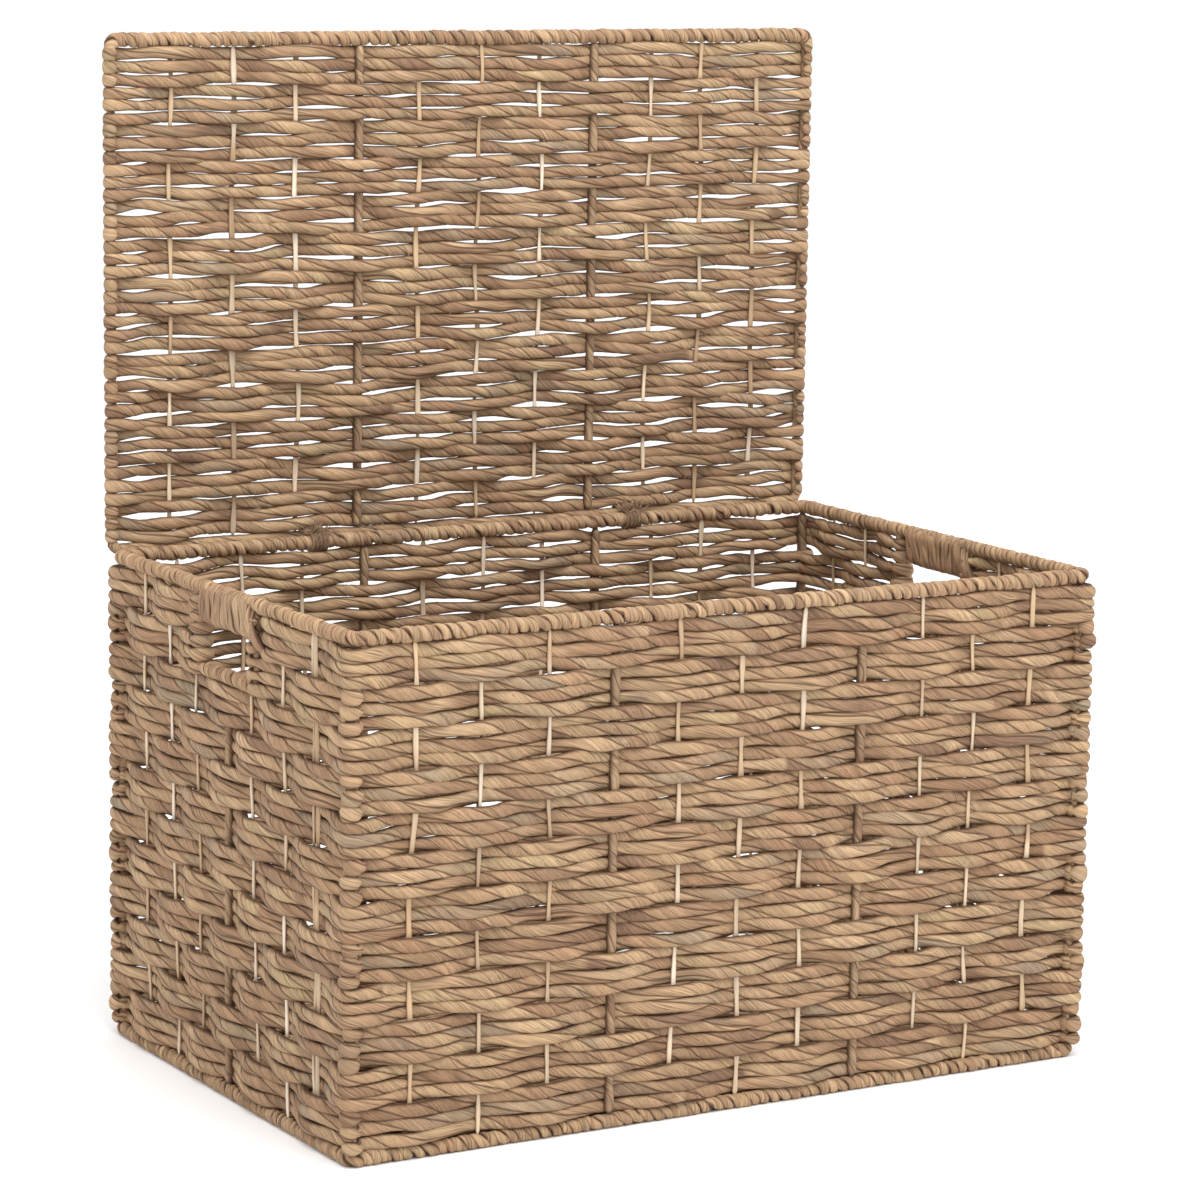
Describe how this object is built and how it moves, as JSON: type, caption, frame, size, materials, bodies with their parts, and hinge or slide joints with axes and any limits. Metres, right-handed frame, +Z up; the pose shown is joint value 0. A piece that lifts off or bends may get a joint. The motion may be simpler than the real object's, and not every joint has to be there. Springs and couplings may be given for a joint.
{
  "type": "wicker storage trunk",
  "caption": "Rectangular woven cord trunk on a steel rod frame, with a flat woven lid hinged on cord ties and a hand hole in each end wall.",
  "frame": {"origin": "centre of the flat underside of the base, on the surface the trunk stands on", "axes": "+Z up, +X to the right along the long side as seen from the front, +Y from the front wall to the hinged back wall"},
  "size_m": [0.704, 0.4643, 0.854],
  "materials": {
    "woven_cord": "matt twisted water hyacinth cord, tan to brown with darker creases between the plies",
    "binding_cord": "matt cord coiled close round the rod",
    "wrap_cord": "matt cord turned round the rod",
    "rib_cord": "thin dark brown twisted cord",
    "grip_leaf": "flat dried leaf wound on edge, faint sheen",
    "tie_cord": "dark fibrous cord with frayed ends",
    "rattan_stake": "pale flat rattan strip, satin",
    "steel_rod": "brown painted steel rod, hidden inside the cord"
  },
  "bodies": {
    "trunk": {"base_frame": "steel_rod", "rim_frame": "steel_rod", "corner_post_front_left": "steel_rod", "corner_post_front_right": "steel_rod", "corner_post_back_left": "steel_rod", "corner_post_back_right": "steel_rod", "front_ribs": "steel_rod", "back_ribs": "steel_rod", "side_ribs": "steel_rod", "base_ribs": "steel_rod", "handle_frame_left": "steel_rod", "handle_frame_right": "steel_rod", "grip_rod_left": "steel_rod", "grip_rod_right": "steel_rod", "front_stakes": "rattan_stake", "back_stakes": "rattan_stake", "left_stakes": "rattan_stake", "right_stakes": "rattan_stake", "base_stakes": "rattan_stake", "front_weave": "woven_cord", "back_weave": "woven_cord", "base_weave": "woven_cord", "left_weave_lower": "woven_cord", "left_weave_front": "woven_cord", "left_weave_back": "woven_cord", "right_weave_lower": "woven_cord", "right_weave_front": "woven_cord", "right_weave_back": "woven_cord", "rim_binding_front": "binding_cord", "rim_binding_back": "binding_cord", "rim_binding_left": "binding_cord", "rim_binding_right": "binding_cord", "base_binding_front": "binding_cord", "base_binding_back": "binding_cord", "base_binding_left": "binding_cord", "base_binding_right": "binding_cord", "corner_wrap_front_left": "wrap_cord", "corner_wrap_front_right": "wrap_cord", "corner_wrap_back_left": "wrap_cord", "corner_wrap_back_right": "wrap_cord", "rib_wraps": "rib_cord", "grip_wrap_left": "grip_leaf", "grip_wrap_right": "grip_leaf", "sill_wrap_left": "wrap_cord", "sill_wrap_right": "wrap_cord"},
    "lid": {"lid_frame": "steel_rod", "lid_ribs": "steel_rod", "lid_rib_wraps": "rib_cord", "lid_stakes": "rattan_stake", "lid_weave": "woven_cord", "lid_binding_front": "binding_cord", "lid_binding_back": "binding_cord", "lid_edge_wrap_left": "wrap_cord", "lid_edge_wrap_right": "wrap_cord", "hinge_tie_left": "tie_cord", "hinge_tie_right": "tie_cord"}
  },
  "joints": [
    {"name": "lid_hinge", "type": "hinge", "parent": "trunk", "child": "lid", "pos_m": [0, 0.216, 0.416], "axis": [1, 0, 0], "range_deg": [0, 90]}
  ]
}
